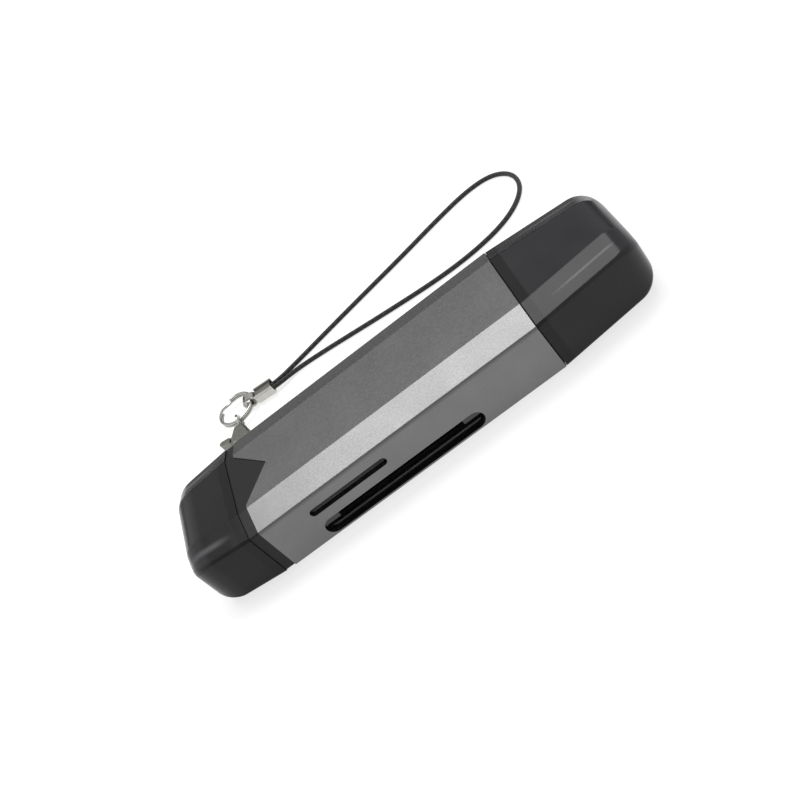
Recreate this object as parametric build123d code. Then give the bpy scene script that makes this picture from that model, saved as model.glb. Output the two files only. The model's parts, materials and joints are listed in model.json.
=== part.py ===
from build123d import *
import math
import os

# USB memory card reader, lying flat. X runs along the body to the USB-A end, the card
# slots are in the -Y side, Z is up from the middle of the flat underside. Millimetres.

# Sleeve: an eight-sided extrusion
body_width = 19.6
body_height = 10.5
shoulder_run = 4.1     # each slope beside the flats, across
shoulder_drop = 1.3    # and down, at the top
foot_rise = 1.1        # and up, at the underside
corner_radius = 0.3
sleeve_length = 44.0
sleeve_wall = 0.9
rim_chamfer = 0.15
notch_depth = 4.5
notch_width = 10.3

# Card slots in the sleeve, by their middle, and the cards that they take
large_card_width = 24.0
large_slot_play = 0.75
large_slot_height = 2.7
large_slot_x = -2.8
large_slot_z = 2.8
small_card_width = 11.0
small_slot_play = 0.65
small_slot_height = 1.25
small_slot_x = -9.35
small_slot_z = 6.48

# Clearances
fit_gap = 0.05         # mouldings inside the sleeve
slide_gap = 0.3        # caps on their bosses
seam_gap = 0.04        # cap rim to the face it stops at

# Mouldings at the ends
collar_length = 1.5
collar_recess = 0.15   # collar and its tongue stand back from the sleeve's outside
boss_length = 1.2
boss_corner = 0.5
plug_in_depth = 3.0
end_wall = 1.3

# Frame halves round the board
frame_wall = 1.5
frame_floor = 0.45
frame_roof = 0.9
ledge_length = 2.7
ledge_height = 1.0
ledge_recess = 0.35    # behind the sleeve's outside

# Caps
usb_a_tip_gap = 1.0    # from each plug's tip to the inside of its cap's end
usb_c_tip_gap = 0.55
cap_wall = 1.1
cap_side_draft = 7.0   # degrees
cap_top_draft = 0.4
cap_end_wall = 1.8
cap_end_radius = 3.2

# Circuit board
board_thickness = 0.8
board_bottom = 4.45
board_side_gap = 1.05
board_neck_width = 10.4
board_neck_length = 3.2
board_edge_gap = 0.2

# USB-A plug
usb_a_width = 12.0
usb_a_height = 4.5
usb_a_reach = 12.0     # beyond the boss
usb_a_inside = 7.0     # behind the boss face
usb_a_metal = 0.3
usb_a_tongue_height = 1.84
usb_a_window_length = 2.2
usb_a_window_width = 2.5
usb_a_window_y = 2.6
usb_a_window_from_tip = 5.2
usb_a_pads = (-3.5, -1.0, 1.0, 3.5)   # contacts on the tongue, across
usb_a_pad_width = 1.0
usb_a_springs = (-4.7, -2.25, 0.0, 2.25, 4.7)
usb_a_spring_width = 0.6
usb_a_spring_length = 4.0
usb_a_spring_height = 0.4
usb_a_contact_back = 1.2    # from the tongue's back
usb_a_contact_front = 1.6   # from the shell's tip

# USB-C plug
usb_c_width = 8.25
usb_c_height = 2.4
usb_c_reach = 6.65
usb_c_inside = 5.9
usb_c_metal = 0.28
usb_c_mouth_width = 6.7
usb_c_mouth_height = 0.84
usb_c_mouth_depth = 5.4
usb_c_pitch = 0.5
usb_c_pins = 12

# Parts on the board, by their middles
chip_place = (3.2, 0.5)
chip_side = 7.0
chip_height = 0.9
crystal_place = (9.6, -3.6)
regulator_place = (10.0, 3.4)
capacitor_pitch = 1.8
capacitor_row_x = 13.0

# Sockets
card_side_play = 0.25
socket_rail = 1.0
socket_front_gap = 0.1   # to the frame's walls
socket_back_gap = 1.0
large_channel_floor = 1.65
large_channel_roof = 4.0
small_channel_roof = 6.95
socket_sheet = 0.15
contact_sheet = 0.12
contact_root = 2.0       # where the sockets' contacts are held, from the back
large_contact_count = 9
large_contact_pitch = 2.5
large_contact_width = 0.9
large_contact_length = 6.0
large_contact_dip = 0.7
small_contact_count = 8
small_contact_pitch = 1.1
small_contact_width = 0.6
small_contact_length = 5.0
small_contact_dip = 0.5
small_socket_floor = 0.3

# Lanyard lug on the collar
lug_reach = 1.7
lug_z = 1.6
lug_hole_radius = 1.15
lug_radius = 2.0

# Lanyard hardware, all at one height over the surface
hardware_z = 1.25
hook_wire = 1.0
hook_radius = 2.7      # middle of the wire
hook_x = -23.15
clasp_thickness = 2.5
clasp_edge = 0.25
clasp_foot = 2.0       # its foot, beyond the middle of the hook
clasp_foot_half = 3.3
clasp_neck_length = 8.85
clasp_neck_half = 0.75
clasp_slot_height = 1.3
clasp_slot_wall = 1.15  # solid side of the slot, left of the middle of the hook
clasp_slot_end = 7.4   # beyond the middle of the hook
trigger_thickness = 0.7
gate_radius = 0.42
thumb_thickness = 1.2
thumb_radius = 0.45
pivot_back = 2.2       # left of the middle of the hook
pivot_beyond = 5.2     # beyond the middle of the hook
pivot_radius = 0.75
pin_diameter = 0.8
spring_wire = 0.28
eye_x = -24.2
eye_post = 0.8
eye_gap = 0.92         # clasp's neck to the inside of the eye's wire
post_depth = 1.1
eye_wire = 0.46
eye_radius = 0.95      # middle of the wire
ring_wire = 0.45
ring_radius = 3.05
ring_pitch = 0.5
ring_jog = 40.0        # degrees over which one turn climbs to the next
ring_tip_gap = 6.0
ring_start_angle = 149.0

# Folded metal end and cord
crimp_angle = -6.0
crimp_sheet = 0.25
crimp_length = 3.3
crimp_width = 2.1
crimp_height = 1.6
crimp_strap = 1.4
crimp_loop_radius = 0.7
crimp_loop_run = 0.65  # straight part of its loop
crimp_cover_drop = 0.3
crimp_cover_short = 0.35
cord_diameter = 0.76

# Worked out from the above
mid_z = body_height / 2
left_end = -sleeve_length / 2
right_end = sleeve_length / 2
collar_face = left_end - collar_length
collar_boss = collar_face - boss_length
plate_boss = right_end + boss_length
inner_wall = sleeve_wall + fit_gap
large_slot_length = large_card_width + 2 * large_slot_play
small_slot_length = small_card_width + 2 * small_slot_play
board_width = body_width - 2 * (inner_wall + board_side_gap)
board_top = board_bottom + board_thickness
usb_a_cap_length = boss_length + usb_a_reach + usb_a_tip_gap + cap_end_wall
usb_c_cap_length = boss_length + usb_c_reach + usb_c_tip_gap + cap_end_wall
usb_a_back = plate_boss - usb_a_inside
usb_c_back = collar_boss + usb_c_inside
board_left = usb_c_back + board_edge_gap
board_right = usb_a_back - board_edge_gap
near_side = -body_width / 2
lug_y = body_width / 2 + lug_reach
hook_y = lug_y + hook_radius
pivot_x = hook_x - pivot_back
pivot_y = hook_y + pivot_beyond
neck_y = hook_y + clasp_neck_length
eye_y = neck_y + eye_gap + eye_wire / 2 + eye_radius


def corners(narrower=0.0, lower=0.0):
    """Corners of the eight-sided section, from the middle of its height."""
    half_w, half_h = body_width / 2 - narrower, body_height / 2 - lower
    flat = half_w - shoulder_run
    top, foot = half_h - shoulder_drop, foot_rise - half_h
    return [(half_w, foot), (half_w, top), (flat, half_h), (-flat, half_h),
            (-half_w, top), (-half_w, foot), (-flat, -half_h), (flat, -half_h)]


def section(inset=0.0, corner=0.0, narrower=0.0, lower=0.0):
    """Eight-sided section, in from the sleeve's outside, with rounded shoulders."""
    shape = Polygon(*corners(narrower, lower), align=None)
    if inset:
        shape = offset(shape, -inset, kind=Kind.INTERSECTION)
    if corner:
        crests = body_height / 2 - inset - 0.01
        shape = fillet(shape.vertices().filter_by(lambda v: abs(v.Y) < crests), corner)
    return shape


def across(x):
    """Plane across the body at x, with its own x along Y."""
    return Plane(origin=(x, 0, mid_z), x_dir=(0, 1, 0), z_dir=(1, 0, 0))


def bar(x0, x1, inset=0.0, corner=0.0):
    """Length of the eight-sided section."""
    return extrude(across(x0) * section(inset, corner), x1 - x0)


def block(x0, x1, y0, y1, z0, z1):
    """Box between two corners."""
    return Pos((x0 + x1) / 2, (y0 + y1) / 2, (z0 + z1) / 2) * Box(x1 - x0, y1 - y0, z1 - z0)


def slot_cutter(length, height, x, z):
    """Round-ended cutter through the near wall only."""
    plane = Plane(origin=(x, near_side - 1, z), x_dir=(1, 0, 0), z_dir=(0, -1, 0))
    return extrude(plane * SlotOverall(length, height), -(1 + sleeve_wall + 0.5))


def notch(depth, half_width, z0, z1):
    """Wedge that points along +X from the sleeve's left end."""
    outline = Polygon((left_end - 0.01, -half_width), (left_end + depth, 0),
                      (left_end - 0.01, half_width), align=None)
    return extrude(Plane.XY.offset(z0) * outline, z1 - z0)


def make_outer_sleeve():
    sleeve = bar(left_end, right_end, 0, corner_radius) - bar(left_end - 1, right_end + 1, sleeve_wall)
    sleeve -= notch(notch_depth, notch_width / 2, body_height - sleeve_wall - 0.3, body_height + 1)
    sleeve -= slot_cutter(large_slot_length, large_slot_height, large_slot_x, large_slot_z)
    sleeve -= slot_cutter(small_slot_length, small_slot_height, small_slot_x, small_slot_z)
    rim = sleeve.faces().sort_by(Axis.X)[-1].outer_wire().edges()
    return chamfer(rim, rim_chamfer)


def plug_hole(width, height, radius, x0, x1, gap):
    """Hole that a plug's shell sits in."""
    outline = RectangleRounded(width + 2 * gap, height + 2 * gap, radius + gap)
    return extrude(across(x0) * outline, x1 - x0)


def make_collar():
    piece = bar(collar_face, left_end, collar_recess, corner_radius)
    piece += bar(collar_boss, collar_face, cap_wall + slide_gap, boss_corner)
    piece += bar(left_end, left_end + plug_in_depth, inner_wall)
    piece += notch(notch_depth - fit_gap, notch_width / 2 - fit_gap, body_height - inner_wall,
                   body_height - collar_recess)
    piece -= bar(left_end + end_wall, left_end + plug_in_depth + 1, inner_wall + end_wall)
    piece -= plug_hole(usb_c_width, usb_c_height, usb_c_height / 2 - 0.02, collar_boss - 1,
                       left_end + plug_in_depth + 1, fit_gap)
    return piece + lug() - lug_hole()


def lug():
    """Eyelet on the far side, flat where it reaches the surface."""
    plane = Plane(origin=(collar_face, lug_y, lug_z), x_dir=(0, 1, 0), z_dir=(1, 0, 0))
    side = body_width / 2
    eyelet = extrude(plane * Circle(lug_radius), collar_length)
    neck = block(collar_face, left_end, side - 0.6, lug_y, lug_z - lug_radius, lug_z + lug_radius)
    return (eyelet + neck) & block(collar_face, left_end, side - 0.6, lug_y + lug_radius, 0, body_height)


def lug_hole():
    plane = Plane(origin=(collar_face - 1, lug_y, lug_z), x_dir=(0, 1, 0), z_dir=(1, 0, 0))
    return extrude(plane * Circle(lug_hole_radius), collar_length + 2)


def make_end_plate():
    piece = bar(right_end - plug_in_depth, right_end, inner_wall)
    piece += bar(right_end, plate_boss, cap_wall + slide_gap, boss_corner)
    piece -= bar(right_end - plug_in_depth - 1, right_end - end_wall, inner_wall + end_wall)
    return piece - plug_hole(usb_a_width, usb_a_height, 0.5, right_end - plug_in_depth - 1,
                             plate_boss + 1, fit_gap)


def frame_span():
    """The frame halves stand between the two end mouldings."""
    return left_end + plug_in_depth + fit_gap, right_end - plug_in_depth - fit_gap


def make_lower_frame():
    x0, x1 = frame_span()
    floor = inner_wall + frame_floor
    inside = body_width / 2 - inner_wall - frame_wall
    piece = bar(x0, x1, inner_wall) & block(x0, x1, -body_width, body_width, 0, board_bottom)
    piece -= block(*socket_span(large_slot_x, large_card_width, fit_gap), -inside, inside,
                   floor, board_bottom + 1)
    piece -= block(large_slot_x + large_slot_length / 2 + frame_wall, x1 - frame_wall, -inside, inside,
                   floor, board_bottom + 1)
    mouth_low = large_slot_z - large_slot_height / 2
    mouth_high = large_slot_z + large_slot_height / 2
    half = large_slot_length / 2
    piece -= block(large_slot_x - half, large_slot_x + half, -body_width, -inside + 0.1,
                   mouth_low, mouth_high - ledge_height)
    piece -= block(large_slot_x - half + ledge_length, large_slot_x + half - ledge_length,
                   -body_width, -inside + 0.1, mouth_low, mouth_high)
    return piece + slot_ledges() - plug_pockets()


def slot_ledges():
    """Steps in the upper corners of the large slot, over the thin edges of the card."""
    plane = Plane(origin=(large_slot_x, near_side + ledge_recess, large_slot_z),
                  x_dir=(1, 0, 0), z_dir=(0, -1, 0))
    outline = SlotOverall(large_slot_length - 2 * fit_gap, large_slot_height - 2 * fit_gap)
    filled = extrude(plane * outline, -(inner_wall + frame_wall / 2 - ledge_recess))
    half, top = large_slot_length / 2, large_slot_z + large_slot_height / 2
    filled &= block(large_slot_x - half, large_slot_x + half, near_side, 0, top - ledge_height, top)
    return filled - block(large_slot_x - half + ledge_length, large_slot_x + half - ledge_length,
                          near_side, 0, 0, body_height)


def plug_pockets():
    """Room for the backs of the two plugs between the frame halves."""
    return (plug_hole(usb_a_width, usb_a_height, 0.5, usb_a_back - board_edge_gap, right_end, fit_gap)
            + plug_hole(usb_c_width, usb_c_height, usb_c_height / 2 - 0.02, left_end, board_left, fit_gap))


def socket_span(x, card_width, gap=0.0):
    half = card_width / 2 + card_side_play + socket_rail + gap
    return x - half, x + half


def make_upper_frame():
    x0, x1 = frame_span()
    inside = body_width / 2 - inner_wall - frame_wall
    piece = bar(x0, x1, inner_wall) & block(x0, x1, -body_width, body_width, board_top, body_height)
    piece -= block(x0 + frame_wall, x1 - frame_wall, -inside, inside, board_top - 1,
                   body_height - inner_wall - frame_roof)
    piece -= plug_pockets()
    half = small_slot_length / 2
    piece -= block(small_slot_x - half, small_slot_x + half, -body_width, -inside + 0.1,
                   small_slot_z - small_slot_height / 2, small_slot_z + small_slot_height / 2)
    return piece


def closing(length):
    """How far a cap closes in over a length, to each side and at top and bottom."""
    return length * math.tan(math.radians(cap_side_draft)), length * math.tan(math.radians(cap_top_draft))


def cap_facets(length):
    """Each flat of a cap: outward normal, distance from the middle at the rim and at the end, and
    how much larger its end rounding is. The narrow flats of the shoulders come last."""
    rim = [Vector(0, y, z) for y, z in corners()]
    end = [Vector(0, y, z) for y, z in corners(*closing(length))]
    flats = []
    for here, following, there in zip(rim, rim[1:] + rim[:1], end):
        normal = (following - here).cross(Vector(1, 0, 0)).normalized()
        flats.append((normal, normal.dot(here), normal.dot(there), 1.0))
    narrow = []
    for before, after, here, there in zip(flats[-1:] + flats, flats, rim, end):
        normal = (before[0] + after[0]).normalized()
        spread = 1 / normal.dot(before[0])
        cut = corner_radius * (spread - 1 / spread)
        if abs(here.Y) > body_width / 2 - shoulder_run / 2:
            narrow.append((normal, normal.dot(here) - cut, normal.dot(there) - cut, spread))
    return flats + narrow


def facet_slab(length, normal, near, far, spread):
    """Everything behind one flat of a cap, drafted along X and rounded over at its end. It starts well
    before the rim."""
    lead = body_width
    before = near + (near - far) * lead / length
    outline = Polygon((-lead, -lead), (length, -lead), (length, far), (-lead, before), align=None)
    tip = outline.vertices().sort_by(lambda v: v.X * body_width + v.Y)[-1]
    outline = fillet(tip, spread * cap_end_radius)
    along = Vector(1, 0, 0)
    plane = Plane(origin=(seam_gap, 0, mid_z), x_dir=along, z_dir=along.cross(normal))
    return extrude(plane * outline, lead, both=True)


def make_cap(stop, length, side):
    """Cap from its stop face outwards, to +X when side is 1 and to -X when it is -1."""
    cap = None
    for facet in cap_facets(length - seam_gap):
        slab = facet_slab(length - seam_gap, *facet)
        cap = slab if cap is None else cap & slab
    cap &= block(seam_gap, length + 1, -body_width, body_width, -body_height, 2 * body_height)
    depth = length - cap_end_wall
    cap -= loft([across(0) * section(cap_wall), across(depth) * section(cap_wall, 0, *closing(depth))])
    return Pos(stop, 0, 0) * (cap if side > 0 else mirror(cap, about=Plane.YZ))


def make_circuit_board():
    half = board_width / 2
    board = block(board_left, board_right, -half, half, board_bottom, board_top)
    neck = block(board_right, board_right + board_neck_length, -board_neck_width / 2, board_neck_width / 2,
                 board_bottom, board_top)
    return board + neck


def make_usb_a_shell():
    tip = plate_boss + usb_a_reach
    outer = RectangleRounded(usb_a_width, usb_a_height, 0.5)
    shell = extrude(across(usb_a_back) * (outer - usb_a_bore()), tip - usb_a_back)
    middle = tip - usb_a_window_from_tip
    for y in (-usb_a_window_y, usb_a_window_y):
        shell -= block(middle - usb_a_window_length / 2, middle + usb_a_window_length / 2,
                       y - usb_a_window_width / 2, y + usb_a_window_width / 2, 0, body_height)
    return shell


def usb_a_bore():
    return RectangleRounded(usb_a_width - 2 * usb_a_metal, usb_a_height - 2 * usb_a_metal, 0.2)


def usb_a_tongue_top():
    return mid_z - usb_a_height / 2 + usb_a_metal + usb_a_tongue_height


def make_usb_a_tongue():
    start, front = board_right + board_neck_length + fit_gap, plate_boss + usb_a_reach - 0.5
    tongue = extrude(across(start) * usb_a_bore(), front - start)
    tongue &= block(start, front, -body_width, body_width, 0, usb_a_tongue_top())
    lead_in = tongue.faces().sort_by(Axis.X)[-1].edges().sort_by(Axis.Z)[-1]
    return chamfer(lead_in, 0.4)


def make_usb_a_contacts():
    base = usb_a_tongue_top()
    start = board_right + board_neck_length + usb_a_contact_back
    tip = plate_boss + usb_a_reach - usb_a_contact_front
    pad, spring = usb_a_pad_width / 2, usb_a_spring_width / 2
    strips = [block(start, tip, y - pad, y + pad, base, base + contact_sheet) for y in usb_a_pads]
    strips += [block(start, start + usb_a_spring_length, y - spring, y + spring,
                     base, base + usb_a_spring_height) for y in usb_a_springs]
    return Compound(strips)


def make_usb_c_shell():
    tip = collar_boss - usb_c_reach
    outer = RectangleRounded(usb_c_width, usb_c_height, usb_c_height / 2 - 0.02)
    shape = extrude(across(tip) * outer, usb_c_back - tip)
    shape = chamfer(shape.faces().sort_by(Axis.X)[0].outer_wire().edges(), usb_c_metal / 2)
    return shape - extrude(across(tip - 1) * usb_c_bore(), usb_c_back - tip + 2)


def usb_c_bore():
    height = usb_c_height - 2 * usb_c_metal
    return RectangleRounded(usb_c_width - 2 * usb_c_metal, height, height / 2 - 0.02)


def make_usb_c_insulator():
    tip = collar_boss - usb_c_reach + 0.3
    mouth = RectangleRounded(usb_c_mouth_width, usb_c_mouth_height, 0.25)
    body = extrude(across(tip) * usb_c_bore(), usb_c_back - tip)
    return body - extrude(across(tip) * mouth, usb_c_mouth_depth)


def make_usb_c_contacts():
    tip = collar_boss - usb_c_reach + 0.9
    strips = []
    for pin in range(usb_c_pins):
        y = (pin - (usb_c_pins - 1) / 2) * usb_c_pitch
        for side in (-1, 1):
            wall = mid_z + side * usb_c_mouth_height / 2
            z0, z1 = sorted((wall, wall - side * contact_sheet))
            strips.append(block(tip, tip + usb_c_mouth_depth - 0.6, y - 0.125, y + 0.125, z0, z1))
    return Compound(strips)


def socket_y():
    """Front and back of both card sockets."""
    inside = body_width / 2 - inner_wall - frame_wall
    return socket_front_gap - inside, inside - socket_back_gap


def rails(x, card_width, z0, z1):
    """Moulded rails at both sides of a card and the stop behind it."""
    x0, x1 = socket_span(x, card_width)
    front, back = socket_y()
    outer = block(x0, x1, front, back, z0, z1)
    return outer - block(x0 + socket_rail, x1 - socket_rail, front - 1, back - 1.4, z0 - 1, z1 + 1)


def make_large_card_base():
    x0, x1 = socket_span(large_slot_x, large_card_width)
    front, back = socket_y()
    return (rails(large_slot_x, large_card_width, large_channel_floor, board_bottom)
            + block(x0, x1, back - large_contact_length, back, large_channel_roof, board_bottom))


def make_large_card_cover():
    x0, x1 = socket_span(large_slot_x, large_card_width)
    front, back = socket_y()
    low = large_channel_floor - socket_sheet
    plate = block(x0, x1, front, back, low, large_channel_floor)
    for x in (x0 + 6.0, x1 - 6.0):
        plate -= block(x - 1.5, x + 1.5, front + 3.0, back - 4.0, low - 1, low + 1)
    return plate


def spring_strip(x, width, y_fixed, y_free, z_fixed, dip):
    """Bent contact: flat where it is moulded in, then sloping to a rounded nose."""
    span = y_free - y_fixed
    nose = y_fixed + 0.8 * span
    path = Polyline((y_fixed, 0), (y_fixed + 0.25 * span, 0), (nose, dip), (y_free, dip * 0.55))
    strip = make_brake_formed(path, contact_sheet, dip)
    return Pos(x - width / 2, 0, z_fixed) * extrude(Plane.YZ * strip, width)


def make_brake_formed(path, sheet, dip):
    """Flat profile of a thin strip that follows a line."""
    points = [path @ 0] + [edge @ 1 for edge in path.edges()]
    shift = -sheet if dip < 0 else sheet
    low = [(p.X, p.Y) for p in points]
    high = [(p.X, p.Y + shift) for p in reversed(points)]
    return Polygon(*low, *high, align=None)


def contact_row(x, count, pitch, width, length, z, dip):
    """Row of bent contacts, side by side under or over a card."""
    root = socket_y()[1] - contact_root
    places = [x + (pin - (count - 1) / 2) * pitch for pin in range(count)]
    return Compound([spring_strip(place, width, root, root - length, z, dip) for place in places])


def make_large_card_contacts():
    return contact_row(large_slot_x, large_contact_count, large_contact_pitch, large_contact_width,
                       large_contact_length, large_channel_roof, -large_contact_dip)


def make_small_card_base():
    x0, x1 = socket_span(small_slot_x, small_card_width)
    front, back = socket_y()
    return (rails(small_slot_x, small_card_width, board_top, small_channel_roof)
            + block(x0, x1, front + 0.5, back, board_top, board_top + small_socket_floor))


def make_small_card_cover():
    x0, x1 = socket_span(small_slot_x, small_card_width)
    front, back = socket_y()
    plate = block(x0, x1, front, back, small_channel_roof, small_channel_roof + socket_sheet)
    return plate - block(small_slot_x - 1.2, small_slot_x + 1.2, front + 3, back - 4,
                         small_channel_roof - 1, body_height)


def make_small_card_contacts():
    return contact_row(small_slot_x, small_contact_count, small_contact_pitch, small_contact_width,
                       small_contact_length, board_top + small_socket_floor, small_contact_dip)


def make_controller_chip():
    x, y = chip_place
    chip = Pos(x, y, board_top + chip_height / 2) * Box(chip_side, chip_side, chip_height)
    return chamfer(chip.edges().group_by(Axis.Z)[-1], 0.1)


def make_clock_crystal():
    x, y = crystal_place
    return Pos(x, y, board_top + 0.35) * Box(3.2, 2.5, 0.7)


def make_voltage_regulator():
    """Small three-legged package, its body held just over the board."""
    x, y = regulator_place
    body = Pos(x, y, board_top + 0.65) * Box(1.6, 2.9, 1.0)
    foot = Pos(0, 0, board_top + 0.15) * Box(0.6, 0.4, 0.3)
    for dx, dy in ((-0.95, -0.95), (-0.95, 0.95), (0.95, 0)):
        body += Pos(x + dx, y + dy, 0) * foot
    return body


def make_capacitors():
    chip = Pos(0, 0, board_top + 0.25) * Box(1.0, 0.5, 0.5)
    x, y = chip_place
    beside = chip_side / 2 + 1.7
    places = [(x + capacitor_pitch * step, y + side * beside)
              for side in (-1, 1) for step in (-1.5, -0.5, 0.5, 1.5)]
    places += [(capacitor_row_x, row) for row in (-4.5, -1.5, 1.5, 4.5)]
    return Compound([Pos(*place, 0) * chip for place in places])


def make_clasp_body():
    """Bell with the claw of the hook at its foot, a slot for the trigger and a neck for the eye."""
    low = hardware_z - clasp_thickness / 2
    foot_y, foot_right, foot_left = hook_y + clasp_foot, hook_x + clasp_foot_half, hook_x - clasp_foot_half
    shoulder_y = neck_y - 2 * post_depth
    with BuildLine() as outline:
        ThreePointArc((foot_right, foot_y), (hook_x + 0.95, hook_y + 4.9), (eye_x + 1.35, shoulder_y + 0.2))
        Line((eye_x + 1.35, shoulder_y + 0.2), (eye_x + clasp_neck_half, neck_y))
        Line((eye_x + clasp_neck_half, neck_y), (eye_x - clasp_neck_half, neck_y))
        Line((eye_x - clasp_neck_half, neck_y), (eye_x - 1.7, shoulder_y + 0.4))
        ThreePointArc((eye_x - 1.7, shoulder_y + 0.4), (hook_x - 3.15, hook_y + 5.0), (foot_left, foot_y))
        Line((foot_left, foot_y), (foot_right, foot_y))
    body = extrude(Plane.XY.offset(low) * make_face(outline.line), clasp_thickness)
    rims = body.edges().group_by(Axis.Z)[0] + body.edges().group_by(Axis.Z)[-1]
    body = chamfer(rims.filter_by(lambda e: e.center().Y > foot_y + 0.1), clasp_edge)
    body -= cylinder_z(hook_x, hook_y, hook_radius - hook_wire / 2, low - 1, low + clasp_thickness + 1)
    body += hook()
    slot_low = hardware_z - clasp_slot_height / 2
    body -= block(2 * hook_x, hook_x - clasp_slot_wall, hook_y, hook_y + clasp_slot_end,
                  slot_low, slot_low + clasp_slot_height)
    body -= cylinder_z(pivot_x, pivot_y, pin_diameter / 2, low - 1, low + clasp_thickness + 1)
    bore = Plane(origin=(eye_x, neck_y + 1, hardware_z), x_dir=(1, 0, 0), z_dir=(0, -1, 0))
    return body - extrude(bore * Circle(eye_post / 2 + fit_gap), 1 + post_depth + fit_gap)


def hook():
    """Claw from the right side of the bell, under the lug and up to the gate."""
    start = Vector(hook_x + hook_radius, hook_y + clasp_foot + 0.6, hardware_z)
    bend = Vector(hook_x + hook_radius, hook_y, hardware_z)
    turn = math.radians(200)
    tip = Vector(hook_x + hook_radius * math.cos(turn), hook_y + hook_radius * math.sin(turn), hardware_z)
    path = Line(start, bend) + ThreePointArc(bend, Vector(hook_x, lug_y, hardware_z), tip)
    return wire(path, hook_wire)


def wire(path, diameter):
    """Eight-sided wire along a path, its flats level with the surface."""
    plane = Plane(origin=path @ 0, x_dir=(0, 0, 1), z_dir=path % 0)
    across_flats = RegularPolygon(diameter / 2, 8, major_radius=False, rotation=22.5)
    return sweep(plane * across_flats, path=path)


def cylinder_z(x, y, radius, z0, z1):
    return Pos(x, y, (z0 + z1) / 2) * Cylinder(radius, z1 - z0)


def link(start, start_radius, end, end_radius):
    """Flat link with round ends."""
    ends = (Pos(*start) * Circle(start_radius)).edges() + (Pos(*end) * Circle(end_radius)).edges()
    return make_hull(ends)


def make_clasp_trigger():
    """Gate arm, pivot boss and lever in one flat stamping, with a thicker thumb piece."""
    low = hardware_z - trigger_thickness / 2
    gate_end = (hook_x - hook_radius * math.cos(math.radians(10)),
                hook_y - hook_radius * math.sin(math.radians(20)) + gate_radius + 0.13)
    elbow = (pivot_x - 0.95, pivot_y + 2.5)
    thumb_tip = (elbow[0] - 1.6, elbow[1] + 0.25)
    thumb_root = (elbow[0] - 0.5, elbow[1] + 0.08)
    flat = link(gate_end, gate_radius, (pivot_x, pivot_y), pivot_radius)
    flat += link((pivot_x, pivot_y), pivot_radius, elbow, 0.5) + link(elbow, 0.5, thumb_tip, thumb_radius)
    trigger = extrude(Plane.XY.offset(low) * flat, trigger_thickness)
    thumb = link(thumb_root, thumb_radius, thumb_tip, thumb_radius + 0.05)
    trigger += extrude(Plane.XY.offset(hardware_z - thumb_thickness / 2) * thumb, thumb_thickness)
    return trigger - cylinder_z(pivot_x, pivot_y, pin_diameter / 2 + 0.1, low - 1, low + 2)


def make_clasp_pin():
    low, high = hardware_z - clasp_thickness / 2, hardware_z + clasp_thickness / 2
    return cylinder_z(pivot_x, pivot_y, pin_diameter / 2, low + 0.05, high - 0.05)


def make_clasp_spring():
    """Bow of wire between the trigger's heel and the end of the slot."""
    end_y = hook_y + clasp_slot_end - spring_wire / 2
    heel = (pivot_x + pivot_radius - 0.04, pivot_y + pivot_radius)
    path = ThreePointArc((*heel, hardware_z), (heel[0] + 0.14, (heel[1] + end_y) / 2, hardware_z),
                         (heel[0] - 0.04, end_y, hardware_z))
    return wire(path, spring_wire)


def make_clasp_eye():
    """Swivel: a ring of wire on a post that turns in the clasp's neck."""
    upright = Plane(origin=(eye_x, eye_y, hardware_z), x_dir=(0, 1, 0), z_dir=(1, 0, 0))
    path = upright * Circle(eye_radius).edge()
    plane = Plane(origin=path @ 0, x_dir=(1, 0, 0), z_dir=path % 0)
    ring = sweep(plane * RegularPolygon(eye_wire / 2, 8, major_radius=False, rotation=22.5), path=path)
    post_top = eye_y - eye_radius
    post_plane = Plane(origin=(eye_x, post_top, hardware_z), x_dir=(1, 0, 0), z_dir=(0, -1, 0))
    return ring + extrude(post_plane * Circle(eye_post / 2), post_top - (neck_y - post_depth))


def ring_centre():
    return Vector(eye_x, eye_y + ring_radius, hardware_z)


def make_split_ring():
    """Two flat turns of wire, joined by a short climb from the lower to the upper."""
    climb_start = 360 - ring_jog
    lower = Edge.make_circle(ring_radius, Plane.XY.offset(-ring_pitch / 2), 0, climb_start)
    upper = Edge.make_circle(ring_radius, Plane.XY.offset(ring_pitch / 2), 0, climb_start - ring_tip_gap)
    middle = Vector(ring_radius, 0, 0).rotate(Axis.Z, -ring_jog / 2)
    climb = Edge.make_spline([lower @ 1, middle, upper @ 0], tangents=[lower % 1, upper % 0])
    path = Wire([lower, climb, upper])
    plane = Plane(origin=path @ 0, x_dir=(0, 0, 1), z_dir=path % 0)
    turns = sweep(plane * RegularPolygon(ring_wire / 2, 8, major_radius=False, rotation=22.5), path=path)
    centre = ring_centre()
    return Pos(centre.X, centre.Y, centre.Z) * Rot(0, 0, ring_start_angle) * turns


def crimp_frame():
    """Where the folded end sits: its loop round the ring, its length along local X."""
    centre = ring_centre()
    loop = centre + Vector(ring_radius, 0, 0).rotate(Axis.Z, crimp_angle)
    return Pos(loop.X, loop.Y, loop.Z) * Rot(0, 0, crimp_angle)


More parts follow.
